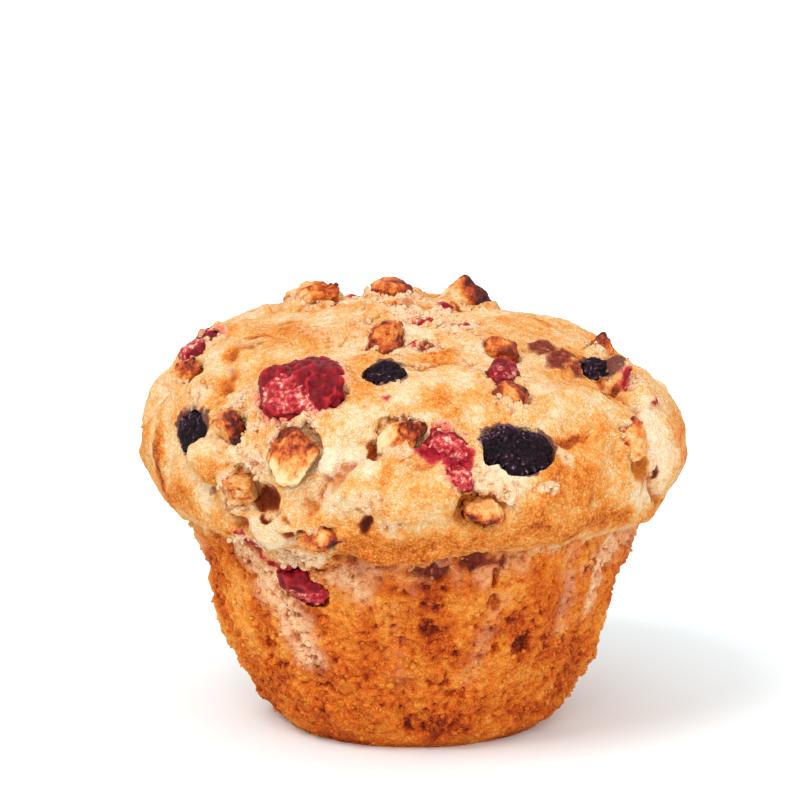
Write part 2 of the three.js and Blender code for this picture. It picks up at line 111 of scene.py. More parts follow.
# Spots where the crust is browner, or less brown where they are below 0
BROWNED = [
    ((56, 66), (9, 8), 0.22), ((42, 86), (12, 6), 0.12), ((31, 93), (9, 4), 0.12),
    ((26, 100), (24, 4), 0.2), ((-4, 101), (17, 4), 0.26), ((57, 99), (12, 3), 0.2),
    ((-3, 88), (9, 4), 0.12), ((-73, 90), (2.4, 6), 0.5), ((-64, 98), (8, 3.5), 0.26),
    ((10, 49), (7, 5), 0.24), ((-84, 46), (4, 3), 0.3), ((-69, 55), (2, 3), 0.5),
    ((-62, 62), (1.8, 3), 0.5), ((-55, 69), (1.8, 3), 0.45), ((37, 80), (3.2, 0.9), 0.6),
    ((98, 47), (4, 2.2), 0.4), ((60, 76), (4, 5), 0.2), ((-45, 88), (6, 3), 0.12),
    ((110, 78), (13, 9), 0.2), ((150, 96), (20, 6), 0.24), ((-160, 92), (16, 7), 0.22),
    ((-115, 92), (12, 6), 0.24), ((-140, 62), (12, 8), 0.2), ((170, 52), (14, 8), 0.18),
    ((-60, 121), (6, 7), -0.24), ((-50, 132), (5, 5), -0.12), ((15, 128), (6, 6), 0.16),
    ((11, 66), (8, 4), 0.3), ((-58, 49), (11, 6), 0.36), ((4, 149), (14, 3), 0.08),
    ((38, 132), (6, 5), 0.02), ((-30, 146), (9, 4), 0.1), ((23, 118), (5, 4), -0.1),
    ((-2, 114), (7, 4), -0.06), ((-34, 130), (5, 5), -0.1), ((58, 130), (5, 9), -0.06),
    ((150, 128), (12, 8), 0.16), ((-140, 130), (12, 8), 0.14), ((-175, 120), (9, 6), -0.14),
]

# Pale spots, where batter stayed hidden from the heat
PALED = [
    ((-13, 82), (8, 3), 0.3), ((-15, 90), (6, 3), 0.24), ((2, 63), (8, 4), 0.14),
    ((18, 86), (5, 3.4), 0.3), ((62, 84), (5, 9), 0.4), ((56, 95), (6, 3), 0.34),
    ((-14, 74), (4, 5), 0.2), ((-38, 84), (6, 3), 0.24), ((-40, 52), (10, 5), 0.1),
    ((-60, 74), (3, 3), 0.2), ((-52, 92), (4, 5), 0.3), ((-33, 99), (6, 4), 0.3),
    ((95, 74), (4, 12), 0.26), ((146, 76), (16, 3), 0.24), ((-144, 74), (14, 3), 0.24),
]

# Pale streaks down the stump, where it pulled off its tin: ends, strength, half width
STREAKS = [
    ([(44, 106), (47, 128)], 0.5, 2.2), ([(-37, 120), (-33, 133)], 1, 3.6),
    ([(-33, 111), (-43, 118)], 1, 3.6), ([(-5, 120), (-4, 140)], 0.3, 2.2),
    ([(23, 118), (16, 138)], 0.4, 2), ([(-52, 106), (-43, 113)], 1, 3),
    ([(-20, 110), (-14, 115)], 0.8, 3), ([(62, 108), (60, 124)], 1, 3.4),
    ([(112, 108), (106, 128)], 0.6, 4), ([(146, 106), (152, 120)], 0.5, 3.4),
    ([(-172, 110), (-166, 130)], 0.7, 4), ([(-136, 106), (-142, 122)], 0.5, 3.4),
    ([(-104, 108), (-98, 126)], 0.6, 3.8),
]

# Torn hollows of the crumb, painted darker as shade
PITS = [
    ((4, 110), (4.4, 1.5), 0.8), ((16, 108), (4.6, 1.6), 0.9), ((4, 126), (1.4, 1.8), 1),
    ((21, 113), (1, 2.2), 1.7), ((22, 119), (0.9, 1.4), 1.3), ((33, 131), (1.6, 2), 1.4),
    ((24, 131), (0.9, 1.1), 1.6), ((10, 138), (1.1, 1.5), 1.1), ((-30, 141), (2.6, 0.7), 1.2),
    ((-50, 133), (1.8, 1.5), 1.2), ((-36, 130), (1.1, 1.2), 0.9), ((-3, 150), (1.2, 2.2), 1.4),
    ((-25, 109), (1.8, 1.2), 1.3), ((-18, 106), (1.4, 1.1), 1.2), ((66, 104), (1.2, 1), 0.9),
    ((120, 120), (2, 1.8), 1.3), ((150, 132), (1.6, 2.2), 1.3), ((-168, 122), (1.8, 1.6), 1.3),
    ((-130, 126), (1.7, 2.1), 1.3), ((-92, 130), (1.6, 1.4), 1.2),
]

# Hollows that a nut or a bubble left in the dome, painted with shade from 0 amber to 1 dark brown
HOLLOWS = [
    ((-34, 92), (3.6, 2.6), 0.8), ((-33, 95.5), (2.4, 0.9), 0.9), ((13, 91), (7, 4), 0.3),
    ((55, 88), (2.6, 6), 0.25), ((-9.5, 80), (1.5, 2.6), 0.6), ((-10, 95), (1.5, 2.8), 1),
    ((-27, 99), (1.6, 1.6), 0.6), ((60, 91), (1.5, 1.6), 1), ((63, 71), (4, 1), 0.7),
    ((-168, 91), (5, 3.6), 0.5), ((114, 21), (2.6, 1.2), 0.6),
]

# Creases between lobes of batter, painted with shade: the places along each, depth and half width
CREASES = [
    ([(-22, 92), (-17, 86), (-13, 82), (-8, 80.5)], 1.26, 1),
    ([(-8, 80.5), (1, 82), (7, 84), (12, 88)], 0.7, 0.9),
    ([(-30, 76), (-30.5, 83), (-31, 90)], 1.68, 0.8),
    ([(-57, 86), (-52, 90), (-45, 94), (-41, 99)], 1.68, 0.9),
    ([(-41, 98), (-35, 94), (-29, 94), (-25, 100)], 1.12, 0.7),
    ([(68, 60), (61, 70), (61, 76), (59, 81)], 1.26, 0.8),
    ([(55, 86), (58, 92), (66, 99)], 1.12, 0.8), ([(63, 70), (70, 75), (78, 79)], 1.4, 0.7),
    ([(32, 80), (42, 79.5)], 0.84, 0.6), ([(-1, 56), (9, 53), (19, 54)], 0.84, 0.7),
    ([(-71, 54), (-61, 62), (-54, 70)], 0.84, 1), ([(-45, 87), (-40, 85), (-34, 85)], 0.7, 0.7),
    ([(-25, 100), (-19, 104), (-13, 101)], 0.84, 0.8),
    ([(103, 58), (108, 76), (110, 94)], 1.4, 0.8), ([(124, 70), (146, 74), (168, 78)], 1.26, 0.8),
    ([(-168, 70), (-146, 74), (-122, 74)], 1.26, 0.8),
    ([(-120, 78), (-118, 88), (-116, 99)], 1.26, 0.8),
    ([(140, 40), (160, 46), (-176, 44)], 0.84, 0.8),
]

# Lobes of batter that stand out, and dips, with their height
LOBES = [
    ((-49, 84), (4.2, 3.4), 1.3), ((-53, 89), (2.6, 2.2), 0.7), ((-20, 83), (5, 3), 0.7),
    ((-2, 89), (12, 4.6), 0.9), ((33, 70), (8, 6), 0.6), ((48, 74), (6, 6), 0.6),
    ((70, 86), (6, 9), 0.7), ((72, 67), (4.4, 2.4), 1.6), ((67, 75), (3.6, 2.4), 1),
    ((-75, 84), (4, 8), 0.4), ((-64, 60), (3, 7), 0.7), ((-46, 58), (7, 6), 0.6),
    ((14, 47), (7, 2.6), 0.7), ((-6, 56), (5, 3), 0.4), ((96, 82), (6, 7), 0.9),
    ((128, 60), (8, 6), 0.8), ((150, 86), (10, 5), 0.9), ((-176, 62), (8, 6), 0.8),
    ((-150, 88), (8, 5), 0.9), ((-128, 66), (7, 6), 0.8), ((-92, 75), (9, 12), -2.4),
    ((87, 77), (6, 6), 1.2), ((102, 62), (8, 7), -0.8), ((-95, 124), (16, 12), -1.2),
    ((95, 126), (14, 10), -0.5), ((96, 100), (10, 4), -1.4),
]

# Flaps of batter over the edges of berries: place, half sizes across, up and out, slant
FLAPS = [
    ((-48.7, 86), (4.4, 3.8, 2), -25), ((-63, 88), (2.2, 3, 1.6), 20),
    ((55, 69), (3.6, 1.8, 1.8), -40), ((73, 68.5), (3, 2.4, 2), 0),
    ((69, 75.5), (3, 2.2, 1.8), -30), ((-36, 121), (2.6, 1.8, 1.6), -20),
    ((-26, 110), (2.8, 1.4, 1.6), -15), ((-3, 102.5), (8.6, 2.6, 2.4), 0),
    ((-33, 98.5), (4.6, 3.4, 2.4), -35), ((8, 75), (3, 1.6, 1.6), 0),
]

# Share of their half thickness by which flaps and clumps are sunk into the cake
LUMP_SINK = 0.3

# Clumps of torn crumb: place, how far they spread, how many, and their largest half size
CLUMPS = [
    ((15, 10), 6, 22, 1.5), ((20, 32), 5, 12, 1.2), ((-60, 12), 5, 10, 1.4),
    ((70, 72), 3.6, 16, 1.2), ((-27, 76), 2.6, 8, 0.9), ((-14, 22), 4, 12, 1),
    ((-46, 103), 4, 14, 1.3), ((-33, 105), 3.6, 12, 1.1), ((-58, 107), 3, 8, 1.1),
    ((17, 88), 3.4, 10, 1), ((-26, 107), 4, 18, 1.4), ((10, 109), 6, 14, 1.1),
    ((-168, 30), 5, 14, 1.3), ((-120, 32), 4, 10, 1.2), ((-154, 41), 2.2, 14, 1.4),
]

# Torn crumb
TORN = [
    ((17, 88), (4.5, 2.6), 1), ((13, 84), (2.5, 2), 0.8), ((28, 88), (3, 1.4), 0.8),
    ((34, 83), (1.6, 2.4), 0.6), ((17, 76), (2.6, 1.2), 0.6), ((-48, 72), (3, 2.6), 0.8),
    ((-20, 69), (1.6, 4), 0.8), ((-24, 75), (2.6, 1.6), 0.9), ((-38, 77), (2.4, 1.6), 0.8),
    ((-60, 73), (3, 2.4), 0.7), ((-5, 95), (4, 2.4), 0.5), ((-6, 62), (3, 1.6), 0.7),
    ((2, 53), (3.4, 1.4), 0.5), ((-120, 30), (4, 3), 0.8), ((-40, 30), (6, 3), 0.5),
    ((-52, 44), (9, 4), 0.4), ((72, 72), (5, 3.4), 0.7), ((-28, 107), (6, 2.8), 1),
    ((73, 11), (6, 3), 0.9), ((5, 43), (4, 3), 0.8), ((-9, 48), (3, 2), 0.7),
    ((40, 28), (6, 4), 0.8), ((0, 14), (7, 5), 0.8), ((-150, 20), (6, 4), 0.8),
    ((22, 52), (3, 1.6), 0.6), ((-10, 90), (5, 3), 0.5), ((-36, 84), (3, 3), 0.6),
    ((-58, 108), (4, 2), 0.8), ((-40, 104), (6, 2.4), 0.9), ((-170, 28), (5, 3), 0.9),
]

# Smears of red juice
RED_SMEARS = [
    ((4, 80), (4, 1.8), 0.9), ((9, 82), (3.2, 2.4), 0.9), ((8, 77), (4, 1), 0.8),
    ((6, 23), (2.2, 1), 1), ((45, 30), (1.4, 1), 0.9), ((120, 16), (2.6, 1.2), 1),
    ((-140, 18), (2.4, 1.4), 0.9), ((-110, 32), (2, 1.2), 1), ((-2, 39), (1.6, 0.9), 0.8),
    ((-33, 57), (0.9, 0.8), 0.9), ((-8, 66.5), (1.2, 1.8), 0.7), ((-42, 101.5), (1.1, 1.2), 1),
    ((-41.4, 104.4), (1.3, 1.5), 1), ((-41, 107.6), (1.6, 1.6), 1),
    ((-39, 110.5), (1.7, 1.3), 1), ((-33, 111.5), (3.4, 1.2), 0.9),
    ((-26, 119), (2.6, 1.2), 0.8), ((70, 70), (2.8, 1.2), 0.9), ((70, 77), (3.2, 1), 0.9),
    ((73, 87), (7, 10), 0.3), ((-84, 70), (1.6, 4), 0.6), ((-82, 75), (1.4, 2.4), 0.8),
    ((-154, 41), (3.4, 3), 1), ((-174, 30), (3.4, 1.4), 0.9), ((150, 70), (3, 1.6), 0.8),
    ((-160, 76), (3, 1.6), 0.8),
]

# Berry skins that lie just under the surface
SKINS = [
    ((64, 52), (4, 2.8), 0.9), ((61, 58), (4.6, 2.4), 1), ((62, 63), (3, 2), 0.8),
    ((-50, 92), (1.2, 2.4), 0.5), ((6, 42), (1.8, 1.2), 0.9), ((-61, 58), (1.4, 3.4), 0.42),
    ((174, 60), (4, 3), 0.7), ((4, 109.5), (3.4, 1.3), 0.75), ((17, 108.5), (4, 1.3), 0.75),
    ((-12, 107), (2, 1), 0.5),
]

# How each walnut piece is toasted: overall, gain along its grain, the grain's angle
TOAST = {
    1: (0.3, 0.2, 20), 2: (0.56, -0.2, 80), 3: (0.62, 1.1, 20), 4: (0.34, 0.2, 10),
    5: (0.86, 0.3, 0), 6: (0.62, 0.3, 70), 7: (0.62, 0.2, 100), 8: (0.58, 0.4, 110),
    9: (0.36, 0.5, 48), 10: (0.62, 0.2, 150), 11: (0.42, 0.7, 80), 12: (0.68, 0.2, -30),
    13: (0.38, 0.3, 60), 14: (0.58, 0.3, 0), 15: (0.54, 0.3, 80), 16: (0.44, 0.3, 60),
}
PLAIN_TOAST = (0.42, 0.35, 40)

# Sides that are broken off walnut pieces: angle seen from the front, share of the reach kept
BREAKS = {
    2: [(0, 0.8), (180, 0.8)], 3: [(150, 0.6), (60, 0.85)], 4: [(90, 0.6)], 5: [(90, 0.6)],
    9: [(135, 0.5), (-45, 0.6), (180, 0.8)], 10: [(80, 0.7), (-100, 0.7)],
    11: [(180, 0.8), (-35, 0.5), (85, 0.7)], 12: [(30, 0.6), (-120, 0.7)],
    13: [(-80, 0.7), (120, 0.75)], 14: [(90, 0.7), (-60, 0.7)], 15: [(150, 0.6)],
}

# Random breaks of a nut and of a chip: how many, and the least and most of the reach they keep
NUT_BREAKS = (9, 0.56, 0.82)
CHIP_BREAKS = (7, 0.5, 0.8)

# The large burst berry: lobes of flesh, east and up from its middle, with their radius, and
# crushed sides, as the angle seen from the front and the share of the reach kept
LARGE_RED_BERRY = 1
FLESH_LOBES = [(-3.6, -1.6, 2.6), (0.4, -2.2, 2.9), (3.4, -2.6, 2), (-1.6, 1.2, 1.6)]
CRUSHED_SIDES = [(100, 0.74), (0, 0.8), (-70, 0.82), (190, 0.85)]

# The red berry whose upper half is skin and whose lower half is flesh
HALF_HIDDEN = 5
# How clearly the others show their flesh, where it is less than fully
FLESH_SHARE = {2: 0.4, 6: 0.6, 10: 0.6}

# Chips of walnut in the surface: place and size. One more, under the lip, is left as crumb.
BITS = [
    ((3.5, 40), 4.6), ((17, 24), 3.4), ((56, 55), 3.2), ((-60, 71), 3.6), ((-51, 72), 3.6),
    ((-14, 101), 3.6), ((60.4, 90.5), 2.8), ((-71, 91), 3.4), ((-168, 48), 4), ((100, 28), 3.8),
    ((-128, 50), 3.6), ((140, 100), 3.6), ((-156, 98), 3.8),
]

# A chip's half length, width and thickness as shares of its size, and how far it is lifted
CHIP_SHAPE = (0.66, 0.48, 0.42)
CHIP_LIFT = 0.1

# Loose crumbs: how many, smallest and largest radius
STUMP_GRAINS = (1500, 0.22, 0.55)
TORN_CRUMBS = (1200, 0.22, 0.6)
# How much they are stretched, how uneven they are, and how far they are lifted, by their radius
CRUMB_STRETCH = (0.7, 1.25)
CRUMB_UNEVENNESS = 0.16
CRUMB_LIFT = 0.3

# Farther from the muffin's middle than any of its points
OUTSIDE = 100

draw = np.random.default_rng(4)


def colour(red, green, blue):
    """A colour given from 0 to 255 as it looks on a screen, as Blender's linear values."""
    def linear(value):
        share = value / 255
        return share / 12.92 if share < 0.04045 else ((share + 0.055) / 1.055) ** 2.4
    return (linear(red), linear(green), linear(blue), 1)


def ramped(low, high, value):
    """Rises smoothly from 0 at low to 1 at high, or falls where low is the larger."""
    share = np.clip((value - low) / (high - low), 0, 1)
    return share * share * (3 - 2 * share)


def lumps(points, width, seed, octaves=1):
    """Smooth random values, about -1 to 1, whose lumps are width mm across."""
    shift = Vector((seed * 17.31, seed * 5.17, seed * 9.73))
    return np.array(
        [1.5 * noise.fractal(Vector(p) / width + shift, 0.9, 2.1, octaves) for p in points]
    )


def cells(points, width, seed):
    """Distances to the nearest and the second nearest of scattered points width mm apart."""
    shift = Vector((seed * 11.3, seed * 7.9, seed * 3.1))
    found = [noise.voronoi(Vector(p) / width + shift)[0][:2] for p in points]
    return np.array(found).T


def wandered(points, amount, width, seed):
    """The points moved about by up to amount mm, so that what they draw gets ragged edges."""
    moves = [lumps(points, width, seed + axis, 2) for axis in range(3)]
    return points + amount * np.stack(moves, axis=1)


# Meshes

def new_piece(name, mesh):
    """A new object in the scene that shows a mesh."""
    piece = bpy.data.objects.new(name, mesh)
    bpy.context.scene.collection.objects.link(piece)
    return piece


def merged_copy(node, name):
    """A new object with a CAD node's shape, its shared corners joined."""
    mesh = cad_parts[node].data.copy()
    mesh.materials.clear()
    work = bmesh.new()
    work.from_mesh(mesh)
    bmesh.ops.remove_doubles(work, verts=work.verts, dist=1e-6)
    work.to_mesh(mesh)
    work.free()
    return new_piece(name, mesh)


def apply_modifiers(piece):
    """Turns what the piece's modifiers show into its own mesh."""
    shown = piece.evaluated_get(bpy.context.evaluated_depsgraph_get())
    mesh = bpy.data.meshes.new_from_object(shown)
    piece.modifiers.clear()
    piece.data = mesh
    mesh.name = piece.name
    mesh.shade_smooth()


def corners(mesh):
    """The mesh's corners in millimetres."""
    flat = np.empty(len(mesh.vertices) * 3)
    mesh.vertices.foreach_get("co", flat)
    return flat.reshape(-1, 3) / MM


def set_corners(mesh, points):
    """Moves the mesh's corners to points in millimetres."""
    mesh.vertices.foreach_set("co", (points * MM).ravel())
    mesh.update()


def outward(mesh):
    """The mesh's normals at its corners."""
    flat = np.empty(len(mesh.vertices) * 3)
    mesh.vertex_normals.foreach_get("vector", flat)
    return flat.reshape(-1, 3)


def edge_ends(mesh):
    """The two corners at the ends of each edge."""
    flat = np.empty(len(mesh.edges) * 2, int)
    mesh.edges.foreach_get("vertices", flat)
    return flat.reshape(-1, 2)


def smoothed(values, edges, rounds):
    """Values at the corners, drawn halfway to their neighbours' average in each round."""
    count = len(values)
    neighbours = np.bincount(edges.ravel(), minlength=count)
    for _ in range(rounds):
        total = np.zeros_like(values)
        for here, there in ((0, 1), (1, 0)):
            for axis in range(values.shape[1]):
                total[:, axis] += np.bincount(edges[:, here], values[edges[:, there], axis], count)
        values = (values + total / neighbours[:, None]) / 2
    return values


def convexity(mesh, rounds):
    """How far each corner stands out of the surface smoothed round it, in mm."""
    points = corners(mesh)
    return np.sum((points - smoothed(points, edge_ends(mesh), rounds)) * outward(mesh), axis=1)


def store(mesh, masks):
    """Keeps each mask on the mesh, where its material reads it by name."""
    for name, values in masks.items():
        layer = mesh.attributes.new(name, "FLOAT", "POINT")
        layer.data.foreach_set("value", np.asarray(values, np.float32))


def surface_tree(meshes):
    """One search tree over the faces of several meshes, in millimetres."""
    points, faces = [], []
    for mesh in meshes:
        start = len(points)
        points += [v.co / MM for v in mesh.vertices]
        faces += [[start + i for i in face.vertices] for face in mesh.polygons]
    return BVHTree.FromPolygons(points, faces)


def distances(tree, points, reach):
    """How far each point is from a surface, in mm, at most reach."""
    found = (tree.find_nearest(Vector(p), reach)[3] for p in points)
    return np.array([reach if away is None else away for away in found])


def unit_ball(subdivisions):
    """The corners of a ball of radius 1 and its triangles."""
    work = bmesh.new()
    bmesh.ops.create_icosphere(work, subdivisions=subdivisions, radius=1)
    points = np.array([v.co for v in work.verts])
    faces = np.array([[v.index for v in face.verts] for face in work.faces])
    work.free()
    return points, faces


def joined(name, shapes, faces):
    """One mesh of several shapes with the same faces; their corners are in millimetres."""
    size = len(shapes[0])
    all_faces = np.concatenate([faces + size * index for index in range(len(shapes))])
    mesh = bpy.data.meshes.new(name)
    mesh.from_pydata((np.concatenate(shapes) * MM).tolist(), [], all_faces.tolist())
    mesh.shade_smooth()
    return mesh


def turned(axis, angle):
    """A turn about an axis by an angle in radians, to multiply points by."""
    return np.array(Matrix.Rotation(angle, 3, Vector(axis)))


# Places on the cake

def direction(place):
    """The direction from the middle of the widest ring to a place."""
    azimuth, polar = (math.radians(angle) for angle in place)
    sideways = math.sin(polar)
    return Vector((math.sin(azimuth) * sideways, -math.cos(azimuth) * sideways, math.cos(polar)))


class Seat:
    """A place on the muffin's surface, with its outward, eastward and upward directions."""

    def __init__(self, trees, place):
        middle = Vector((0, 0, RING_HEIGHT))
        ray = direction(place)
        hits = [tree.ray_cast(middle + ray * OUTSIDE, -ray) for tree in trees]
        point, normal, _, _ = min((hit for hit in hits if hit[0]), key=lambda hit: hit[3])
        azimuth = math.radians(place[0])
        level = Vector((math.cos(azimuth), math.sin(azimuth), 0))
        up = normal.cross(level).normalized()
        self.point = np.array(point)
        self.normal = np.array(normal)
        self.up = np.array(up)
        self.east = np.array(up.cross(normal).normalized())


class Surface:
    """The cake's smooth surface, and how its features lie on it."""

    def __init__(self, mesh):
        self.edges = edge_ends(mesh)
        self.points = smoothed(corners(mesh), self.edges, CAKE_SMOOTHING)
        set_corners(mesh, self.points)
        self.normals = outward(mesh)
        self.height = self.points[:, 2]
        self.tree = surface_tree([mesh])
        self.wandered = wandered(self.points, EDGE_WANDER, EDGE_WIDTH, 1)

    def spot(self, place, half_sizes):
        """1 in the middle of an oval spot, falling to 0 at about its ragged edge."""
        seat = Seat([self.tree], place)
        offset = self.wandered - seat.point
        across = offset @ seat.east / half_sizes[0]
        up = offset @ seat.up / half_sizes[1]
        through = offset @ seat.normal / max(half_sizes)
        return ramped(1.35, 0.35, np.sqrt(across ** 2 + up ** 2 + through ** 2))

    def spots(self, entries, join=np.maximum):
        """The strongest of several spots at each point, or their sum where join is np.add."""
        result = np.zeros(len(self.points))
        for place, half_sizes, strength in entries:
            result = join(result, strength * self.spot(place, half_sizes))
        return result

    def line(self, places, half_width):
        """1 along the line through several places, falling smoothly to 0 at its sides."""
        stops = [Seat([self.tree], place).point for place in places]
        away = np.full(len(self.points), np.inf)
        for start, end in zip(stops, stops[1:]):
            reach = end - start
            along = np.clip((self.wandered - start) @ reach / (reach @ reach), 0, 1)
            nearest = start + along[:, None] * reach
            away = np.minimum(away, np.linalg.norm(self.wandered - nearest, axis=1))
        return np.exp(-(away / half_width) ** 2)

    def lines(self, entries):
        """The strongest of several lines at each point."""
        strongest = np.zeros(len(self.points))
        for places, strength, half_width in entries:
            strongest = np.maximum(strongest, strength * self.line(places, half_width))
        return strongest


# Cake

class Crumb:
    """What the baked crumb is like at each point of the cake's smooth surface."""

    def __init__(self, surface, toppings):
        points = surface.points
        self.surface = surface
        self.ragged = lumps(points, 2.4, 11, 2)
        self.coarse = lumps(points, 6, 12, 2)
        self.middle = lumps(points, 2.8, 13, 2)
        self.fine = lumps(points, 1.25, 14, 2)
        self.flutes = lumps(points * (1, 1, 0.28), 7.5, 16, 2)
        self.drift = lumps(points, 11, 17, 2)
        self.hanging = surface.height + surface.spots(DROOPS)
        self.dome = ramped(NECK_HEIGHT - 1, LIP_HEIGHT + 0.8, self.hanging + 0.5 * self.ragged)
        self.side = (1 - self.dome) * ramped(0, FOOT_HEIGHT, surface.height)
        near = [distances(tree, points, TOPPING_REACH) for tree in toppings]
        self.near_blue, self.near_red, self.near_nut = near
        self.rim = self.torn_rim()
        self.torn = np.maximum(surface.spots(TORN), 0.7 * self.rim)
        self.crease = surface.lines(CREASES)
        self.hollow = surface.spots([(place, sizes, 1) for place, sizes, _ in HOLLOWS])
        self.scorch = surface.spots(HOLLOWS)
        self.pit = surface.spots(PITS)
        self.bubble = self.bubbles()
        self.skin = surface.spots(SKINS)
        self.juice = surface.spots(RED_SMEARS)

    def torn_rim(self):
        """1 at the edges of red berries and nuts, where the crust has torn here and there."""
        nearest = np.minimum(self.near_red, self.near_nut)
        rim = ramped(1.9, 0.4, nearest + 0.5 * self.ragged)
        return rim * ramped(-0.9, 0.4, self.drift + 0.6 * self.coarse)

    def bubbles(self):
        """1 in the small round holes that bubbles left in parts of the batter."""
        away = cells(self.surface.wandered, BUBBLE_WIDTH, 18)[0] + 0.12 * self.fine
        return ramped(0.36, 0.1, away) * ramped(0, 0.5, self.drift + 0.5 * self.coarse)

    def groove(self):
        """1 along the groove under the lip, where it isn't closed."""
        away = self.hanging - GROOVE_HEIGHT + 0.9 * self.ragged
        return np.exp(-(away / GROOVE_HALF_WIDTH) ** 2) * ramped(-0.9, 0.2, self.coarse)

    def relief(self):
        """How far the baked crumb stands out of the smooth surface."""
        points, dome, side = self.surface.points, self.dome, self.side
        ragged, coarse, middle, fine = self.ragged, self.coarse, self.middle, self.fine
        crumbs = 0.55 - cells(points, CRUMB_WIDTH, 20)[0]
        heaped = ramped(2.8, 0.4, self.near_nut) * ramped(-0.5, 0.6, ragged + self.drift)
        shrivelled = 0.35 * np.abs(lumps(points, 1.8, 19, 2)) - 0.1
        rise = self.surface.spots(LOBES, np.add) + self.skin * shrivelled
        rise += dome * (0.42 * coarse + 0.2 * middle + 0.1 * fine - 0.2)
        rise += dome * self.torn * (0.5 * middle + 0.5 * fine + 1.1 * crumbs)
        rise += dome * self.rim * (0.5 + 0.6 * ragged + 0.5 * fine)
        rise += dome * (0.9 * heaped - self.crease - 0.35 * self.scorch - 0.2 * self.hollow)
        rise += side * (0.8 * self.flutes + 0.4 * middle + 0.25 * fine + 0.9 * crumbs - 0.5)
        rise -= side * 0.6 * self.bubble + (1 - dome) * 0.9 * self.pit
        return rise - GROOVE_DEPTH * self.groove()

    def brownness(self):
        """How far the crust has browned, from 0 to 1."""
        from_axis = np.hypot(self.surface.points[:, 0], self.surface.points[:, 1])
        polar = np.degrees(np.arctan2(from_axis, self.surface.height - RING_HEIGHT))
        brown = 0.31 + 0.13 * self.drift + 0.08 * self.coarse + 0.05 * self.middle
        brown += 0.11 * self.dome * ramped(66, 104, polar)
        brown += self.surface.spots(BROWNED, np.add) - self.surface.spots(PALED)
        return np.clip(brown, 0, 1)

    def paleness(self):
        """How pale the stump is, in its streaks and near its neck, from 0 to 1."""
        uneven = self.surface.height + 3 * self.flutes + 1.2 * self.ragged
        bare = ramped(NECK_HEIGHT - 9, NECK_HEIGHT - 1, uneven)
        bare *= 0.55 * ramped(-0.7, 0.5, self.drift + 0.5 * self.flutes)
        pale = np.maximum(self.surface.lines(STREAKS), bare) * (1 - self.dome)
        return np.clip(pale, 0, 1)

    def masks(self, shape):
        """What the crumb's material reads, given how far each point stands out."""
        ragged, coarse, drift = self.ragged, self.coarse, self.drift
        # deep is painted shade: it darkens the crumb's colour in recesses, pits and bubble holes.
        deep = ramped(-0.05, -0.5, shape) + 0.8 * self.pit + 0.6 * self.bubble * self.side
        red = ramped(1.5, 0.1, self.near_red + 0.7 * ragged) * ramped(-0.6, 0.5, drift + coarse)
        blue = ramped(1.3, 0.1, self.near_blue + 0.5 * ragged) * ramped(-0.9, 0.3, coarse)
        nut = ramped(1.1, 0.1, self.near_nut + 0.6 * ragged)
        return {
            "dome": self.dome,
            "brown": self.brownness(),
            "pale": self.paleness(),
            "torn": self.torn,
            "deep": np.clip(deep, 0, 1),
            # Painted light: raised points, and the flutes where they stand out, are coloured
            # lighter.
            "peak": ramped(0, 0.35, shape),
            "flute": 0.5 + 0.5 * self.flutes,
            "hollow": self.hollow,
            "scorch": self.scorch,
            "skin": self.skin,
            "juice": self.juice,
            "crease": np.clip(self.crease, 0, 1),
            "near_red": red,
            "near_blue": blue,
            "near_nut": nut * ramped(-0.2, 0.8, self.middle + drift),
        }


def shape_cake(mesh, toppings):
    """Roughens the cake like baked crumb; returns the masks that its material reads."""
    surface = Surface(mesh)
    crumb = Crumb(surface, toppings)
    moved = surface.points + crumb.relief()[:, None] * surface.normals
    moved[:, 2] = np.maximum(moved[:, 2], 0)
    moved[surface.height < SOLE_HEIGHT, 2] = 0
    set_corners(mesh, moved)
    return crumb.masks(convexity(mesh, SHAPE_ROUNDS["cake"]))


def batter_out(point):
    """The direction straight out of the muffin's plain form at a point."""
    rise = max(point[2] - RING_HEIGHT, 0)
    out = np.array((point[0], point[1], rise * (DOME_RADIUS / DOME_RISE) ** 2))
    return out / np.linalg.norm(out)


def eastward(out):
    """The level direction to the right of one that points out of the muffin."""
    return np.array((-out[1], out[0], 0)) / math.hypot(out[0], out[1])


def lump(ball, point, half_sizes, slant):
    """An oval lump of batter at a point, turned by a slant as seen from outside."""
    out = batter_out(point)
    level = eastward(out)
    turn = turned(out, -math.radians(slant))
    across, up = level @ turn, np.cross(out, level) @ turn
    sunk = point - LUMP_SINK * half_sizes[2] * out
    return ball * half_sizes @ np.stack([across, up, out]) + sunk


def add_lumps(mesh, toppings):
    """Joins flaps and clumps of batter to the cake; its remeshing then melts them in."""
    trees = [surface_tree([mesh]), *toppings]
    ball, faces = unit_ball(3)
    shapes = []
    for place, half_sizes, slant in FLAPS:
        shapes.append(lump(ball, Seat(trees, place).point, half_sizes, slant))
    for place, spread, count, largest in CLUMPS:
        seat = Seat(trees, place)
        for _ in range(count):
            move = spread * draw.normal(size=2)
            near = Vector(seat.point + move[0] * seat.east + move[1] * seat.up)
            spot = np.array(trees[0].find_nearest(near)[0])
            half_sizes = largest * draw.uniform(0.5, 1, 3)
            shapes.append(lump(ball, spot, half_sizes, draw.uniform(0, 180)))
    work = bmesh.new()
    work.from_mesh(mesh)
    work.from_mesh(joined("lumps", shapes, faces))
    work.to_mesh(mesh)
    work.free()


def part_of(cake, name, is_kept):
    """A copy of the cake that has only the faces whose middle height in mm is kept."""
    mesh = cake.data.copy()
    work = bmesh.new()
    work.from_mesh(mesh)
    left_out = [face for face in work.faces if not is_kept(face.calc_center_median().z / MM)]
    bmesh.ops.delete(work, geom=left_out, context="FACES")
    work.to_mesh(mesh)
    work.free()
    return new_piece(name, mesh)


